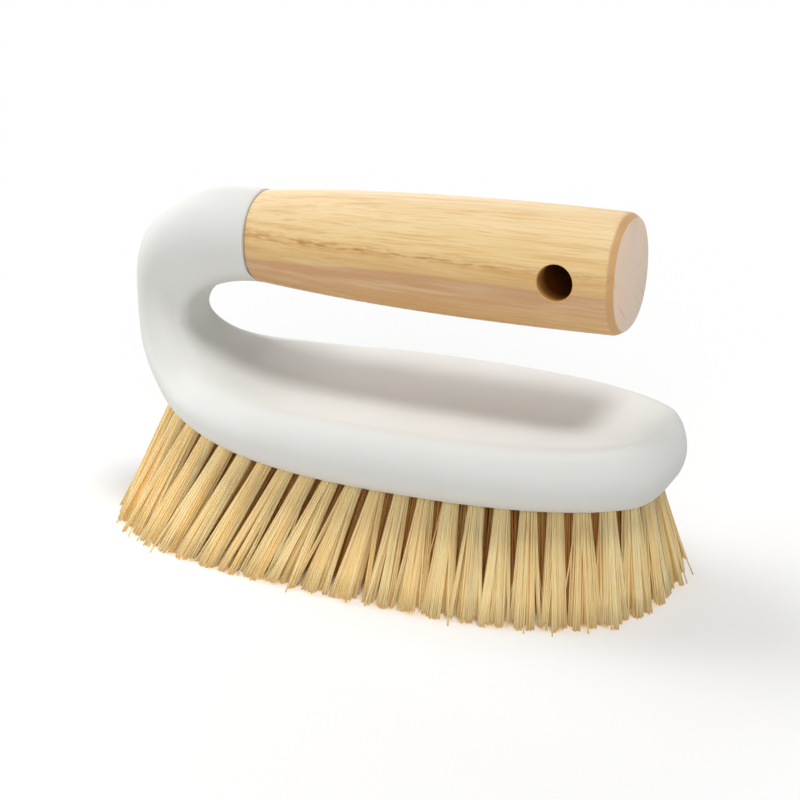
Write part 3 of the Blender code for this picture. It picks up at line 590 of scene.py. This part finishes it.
# Laminated bamboo, sanded and thinly oiled: honey-coloured strips with long streaks of 0.5 mm
# vessels, a darker wavy figure where a joint of the cane ran, and a browner strip below. The end
# grain is duller and pinker, the chamfer cuts across the fibres and takes up more oil, and the
# drilled wall is bare cut vessels with no sheen, with painted shade turning it dark brown deeper in.
BAMBOO_END, BAMBOO_CRACK, BAMBOO_CHAMFER, BAMBOO_BORED_SHADE = "#EFD5BC", "#C2A08A", "#CFA16C", "#6E3C16"
BAMBOO_VESSEL, BAMBOO_FIGURE, BAMBOO_LIGHT = "#CB9450", "#BC8038", "#F1D9AB"
STRIPS = ((66.0, "#E3AC66"), (71.0, "#DAAE77"), (76.5, "#D0A175"), (79.1, "#D0A379"),
          (79.7, "#E0BB80"), (83.0, "#E6BE7E"), (86.0, "#F0CF92"), (91.0, "#EBCE99"),
          (97.0, "#EACC99"))     # the height above the floor, and the colour there
SWAY = 0.3
GLUE_DROP, DROP_ENDS = 2.2, (-40.0, 16.0)     # how far the glue line drops, and between which X
FIGURE_Z, FIGURE_HALF, FIGURE_FADES = 83.8, 1.7, (0.0, 60.0)
WALL_MARGIN = (0.1, 0.03)      # round the hole, where its wall's look sets in and is full
HOLE_SHADE_ENDS = (13.6, 8.5)      # from the handle's middle plane, where the painted shade in the hole sets in and is full
bamboo, tree, shader = start_material("laminated_bamboo_oiled")
shader.inputs["IOR"].default_value = 1.5
shader.inputs["Roughness"].default_value = 0.48
place = add_node(tree, "TexCoord").outputs["Object"]
apart = add_node(tree, "SeparateXYZ", {0: place})
normal = add_node(tree, "SeparateXYZ", {0: add_node(tree, "NewGeometry").outputs["Normal"]})

# The grain sways by 0.3 mm over some 20 mm. The strips' glue line drops towards the joint as well.
sway = add_node(tree, "Mapping", {"Vector": place, "Scale": (45.0, 110.0, 110.0)})
sway = add_node(tree, "TexNoise", {"Vector": sway.outputs[0], "Scale": 1.0, "Detail": 1.0})
sway = add_node(tree, "MapRange", {0: sway.outputs[0], 1: 0.3, 2: 0.7, 3: -SWAY * MM, 4: SWAY * MM})
level = add_node(tree, "Math", {0: apart.outputs[2], 1: sway.outputs[0]}, operation="ADD").outputs[0]
swayed = add_node(tree, "CombineXYZ", {0: apart.outputs[0], 1: apart.outputs[1], 2: level}).outputs[0]
drop = add_node(tree, "MapRange", {0: apart.outputs[0], 1: DROP_ENDS[0] * MM, 2: DROP_ENDS[1] * MM,
                                   3: GLUE_DROP * MM, 4: 0.0}, interpolation_type="SMOOTHSTEP")
drop = add_node(tree, "Math", {0: level, 1: drop.outputs[0]}, operation="ADD")
low, high = STRIPS[0][0], STRIPS[-1][0]
height = add_node(tree, "MapRange", {0: drop.outputs[0], 1: low * MM, 2: high * MM})
strips = add_node(tree, "ValToRGB", {0: height.outputs[0]})
ramp = strips.color_ramp.elements
for at, code in STRIPS[1:-1]:
    ramp.new((at - low) / (high - low))
for element, (at, code) in zip(ramp, STRIPS):
    element.color = linear(code)

# Grains by their length and width in millimetres: single bundles of vessels, broad runs of them,
# and the broken dashes of the figure. The end grain's cracks run aslant in the cut face.
slant = add_node(tree, "Mapping", {"Vector": place, "Rotation": (math.radians(40.0), 0.0, 0.0)})
GRAINS = (("bundles", swayed, (16.0, 0.36, 0.36)), ("runs", swayed, (36.0, 1.9, 1.9)),
          ("dashes", swayed, (4.5, 0.6, 0.6)), ("cracks", slant.outputs[0], (900.0, 16.0, 1.1)))
grains = {}
for name, source, sizes in GRAINS:
    grain = add_node(tree, "Mapping", {"Vector": source, "Scale": [1.0 / (size * MM) for size in sizes]})
    grain = add_node(tree, "TexNoise", {"Vector": grain.outputs[0], "Scale": 1.0, "Detail": 2.0})
    grains[name] = grain.outputs[0]

# The figure is a band where the cane's node was cut through. It fades towards the free end.
away = add_node(tree, "Math", {0: level, 1: FIGURE_Z * MM}, operation="SUBTRACT")
away = add_node(tree, "Math", {0: away.outputs[0]}, operation="ABSOLUTE")
band = add_node(tree, "MapRange", {0: away.outputs[0], 1: FIGURE_HALF * MM, 2: 0.0})
fade = add_node(tree, "MapRange", {0: apart.outputs[0], 1: FIGURE_FADES[0] * MM,
                                   2: FIGURE_FADES[1] * MM, 3: 1.0, 4: 0.45})
dashes = add_node(tree, "MapRange", {0: grains["dashes"], 1: 0.42, 2: 0.62, 3: 0.15, 4: 1.0})
figure = add_node(tree, "Math", {0: band.outputs[0], 1: fade.outputs[0]}, operation="MULTIPLY")
figure = add_node(tree, "Math", {0: figure.outputs[0], 1: dashes.outputs[0]}, operation="MULTIPLY")

# Painted shade in the hanging hole: its wall darkens to brown deeper in, but for its mouth.
HOLE_CENTRE = ((OVAL_X + HANDLE_START + HANDLE_LENGTH - HOLE_FROM_END) * MM, 0.0,
               (AXIS_Z + HANDLE_RISE * (1.0 - HOLE_FROM_END / HANDLE_LENGTH)) * MM)
aside = add_node(tree, "VectorMath", {0: place, 1: HOLE_CENTRE}, operation="SUBTRACT")
aside = add_node(tree, "VectorMath", {0: aside.outputs[0], 1: (1.0, 0.0, 1.0)}, operation="MULTIPLY")
aside = add_node(tree, "VectorMath", {0: aside.outputs[0]}, operation="LENGTH")
inside = add_node(tree, "MapRange", {0: aside.outputs["Value"], 1: (HOLE_RADIUS + WALL_MARGIN[0]) * MM,
                                     2: (HOLE_RADIUS + WALL_MARGIN[1]) * MM})
depth = add_node(tree, "Math", {0: apart.outputs[1]}, operation="ABSOLUTE")
hole_depth_shade = add_node(tree, "MapRange", {0: depth.outputs[0], 1: HOLE_SHADE_ENDS[0] * MM,
                                   2: HOLE_SHADE_ENDS[1] * MM, 3: 0.1, 4: 1.0})
painted_hole_shade = add_node(tree, "Math", {0: inside.outputs[0], 1: hole_depth_shade.outputs[0]}, operation="MULTIPLY")

# Layers of colour, from the strips out to the cut faces.
darker = add_node(tree, "MapRange", {0: grains["bundles"], 1: 0.5, 2: 0.72, 3: 0.0, 4: 0.42})
lighter = add_node(tree, "MapRange", {0: grains["runs"], 1: 0.5, 2: 0.68, 3: 0.0, 4: 0.35})
duller = add_node(tree, "MapRange", {0: grains["runs"], 1: 0.5, 2: 0.34, 3: 0.0, 4: 0.3})
chamfered = add_node(tree, "MapRange", {0: normal.outputs[0], 1: 0.25, 2: 0.45})
ended = add_node(tree, "MapRange", {0: normal.outputs[0], 1: 0.8, 2: 0.95, 4: 0.93})
crack = add_node(tree, "MapRange", {0: grains["cracks"], 1: 0.62, 2: 0.78, 3: 0.0, 4: 0.6})
crack = add_node(tree, "Math", {0: crack.outputs[0], 1: ended.outputs[0]}, operation="MULTIPLY")
wood = strips.outputs[0]
# The last layer is the painted shade deeper in the hanging hole.
for amount, code in ((lighter, BAMBOO_LIGHT), (duller, BAMBOO_VESSEL), (chamfered, BAMBOO_CHAMFER),
                     (darker, BAMBOO_VESSEL), (figure, BAMBOO_FIGURE), (ended, BAMBOO_END),
                     (crack, BAMBOO_CRACK), (inside, BAMBOO_VESSEL), (painted_hole_shade, BAMBOO_BORED_SHADE)):
    mixed = add_node(tree, "Mix", {0: amount.outputs[0], 6: wood, 7: linear(code)}, data_type="RGBA")
    wood = mixed.outputs[2]
tree.links.new(wood, shader.inputs["Base Color"])
sheen = add_node(tree, "MapRange", {0: inside.outputs[0], 3: 0.5, 4: 0.0})
tree.links.new(sheen.outputs[0], shader.inputs["Specular IOR Level"])
relief = add_node(tree, "Bump", {"Height": grains["bundles"], "Strength": 0.1, "Distance": 0.0001})
tree.links.new(relief.outputs[0], shader.inputs["Normal"])

handle.data.materials.append(bamboo)
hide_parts("bamboo_handle")
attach(handle, "root")

# The studio: a white floor that fades into a white surround, with soft lamps overhead, at the left,
# and low at the left, behind and in front. To the light, the floor counts as pale card.
FLOOR_METRES = 8.0
FLOOR_WHITE, FLOOR_BOUNCE, SKY_WHITE = "#FFFFFF", "#E2E2E2", "#FFFFFF"
SKY_STRENGTH = 0.15


def rays_that_see(tree):
    """The socket that is 1 for rays that see a surface, from the camera, in a reflection or through
    a clear piece, and 0 for those that only carry light."""
    ray = add_node(tree, "LightPath")
    seen = add_node(tree, "Math", {0: ray.outputs["Is Camera Ray"], 1: ray.outputs["Is Glossy Ray"]},
                    operation="MAXIMUM")
    return add_node(tree, "Math", {0: seen.outputs[0], 1: ray.outputs["Is Transmission Ray"]},
                    operation="MAXIMUM").outputs[0]


mesh = bpy.data.meshes.new("studio_floor")
mesh.from_pydata([(x * FLOOR_METRES / 2, y * FLOOR_METRES / 2, 0.0)
                  for x, y in ((-1, -1), (1, -1), (1, 1), (-1, 1))], [], [(0, 1, 2, 3)])
floor = bpy.data.objects.new("studio_floor", mesh)
bpy.context.scene.collection.objects.link(floor)
paper, tree, shader = start_material("white_paper_floor")
card = add_node(tree, "Mix", {0: rays_that_see(tree), 6: linear(FLOOR_BOUNCE), 7: linear(FLOOR_WHITE)},
                data_type="RGBA")
tree.links.new(card.outputs[2], shader.inputs["Base Color"])
shader.inputs["Roughness"].default_value = 0.9
shader.inputs["Specular IOR Level"].default_value = 0.0
mesh.materials.append(paper)

scene = bpy.context.scene
world = bpy.data.worlds.new("white_surround")
world.use_nodes = True
scene.world = world
tree = world.node_tree
level = add_node(tree, "MapRange", {0: rays_that_see(tree), 3: SKY_STRENGTH, 4: 1.0})
tree.nodes["Background"].inputs["Color"].default_value = linear(SKY_WHITE)
tree.links.new(level.outputs[0], tree.nodes["Background"].inputs["Strength"])

# Each lamp's name, the direction it shines from, its strength and its spread in degrees. Lamps and
# sky together give a level floor about 1, so one that gets stronger takes from the others.
LAMPS = (("overhead_softbox", (0.26, -0.14, 0.96), 0.47, 20.0),
         ("left_softbox", (-0.72, 0.20, 0.66), 0.25, 30.0),
         ("low_left_softbox", (-0.96, -0.10, 0.27), 0.36, 30.0),
         ("low_back_softbox", (-0.60, 0.75, 0.28), 0.18, 40.0),
         ("front_softbox", (0.34, -0.90, 0.26), 0.34, 46.0))
for name, towards, strength, spread in LAMPS:
    lamp = bpy.data.lights.new(name, "SUN")
    lamp.energy = strength * math.pi
    lamp.angle = math.radians(spread)
    obj = bpy.data.objects.new(name, lamp)
    obj.rotation_mode = "QUATERNION"
    obj.rotation_quaternion = Vector(towards).to_track_quat("Z", "Y")
    scene.collection.objects.link(obj)

# The camera: from the front right and a little above, at half a metre, with a short tele lens.
AZIMUTH, ELEVATION, ROLL = (math.radians(a) for a in (24.4855, 19.586, 0.2057))
CAMERA_DISTANCE, CAMERA_TARGET, LENS, SENSOR = 485.3, (2.22, 0.0, 40.318), 83.127, 36.0
back = Vector((math.sin(AZIMUTH) * math.cos(ELEVATION), -math.cos(AZIMUTH) * math.cos(ELEVATION),
               math.sin(ELEVATION)))
right = Vector((math.cos(AZIMUTH), math.sin(AZIMUTH), 0.0))
upward = back.cross(right)
turned = (right * math.cos(ROLL) + upward * math.sin(ROLL),
          upward * math.cos(ROLL) - right * math.sin(ROLL), back)
camera = bpy.data.cameras.new("camera")
camera.lens, camera.sensor_width = LENS, SENSOR
camera.clip_start, camera.clip_end = 0.01, 50.0
viewer = bpy.data.objects.new("camera", camera)
viewer.matrix_world = (Matrix.Translation((Vector(CAMERA_TARGET) + back * CAMERA_DISTANCE) * MM)
                       @ Matrix(turned).transposed().to_4x4())
scene.collection.objects.link(viewer)
scene.camera = viewer
scene.view_settings.view_transform = "Standard"
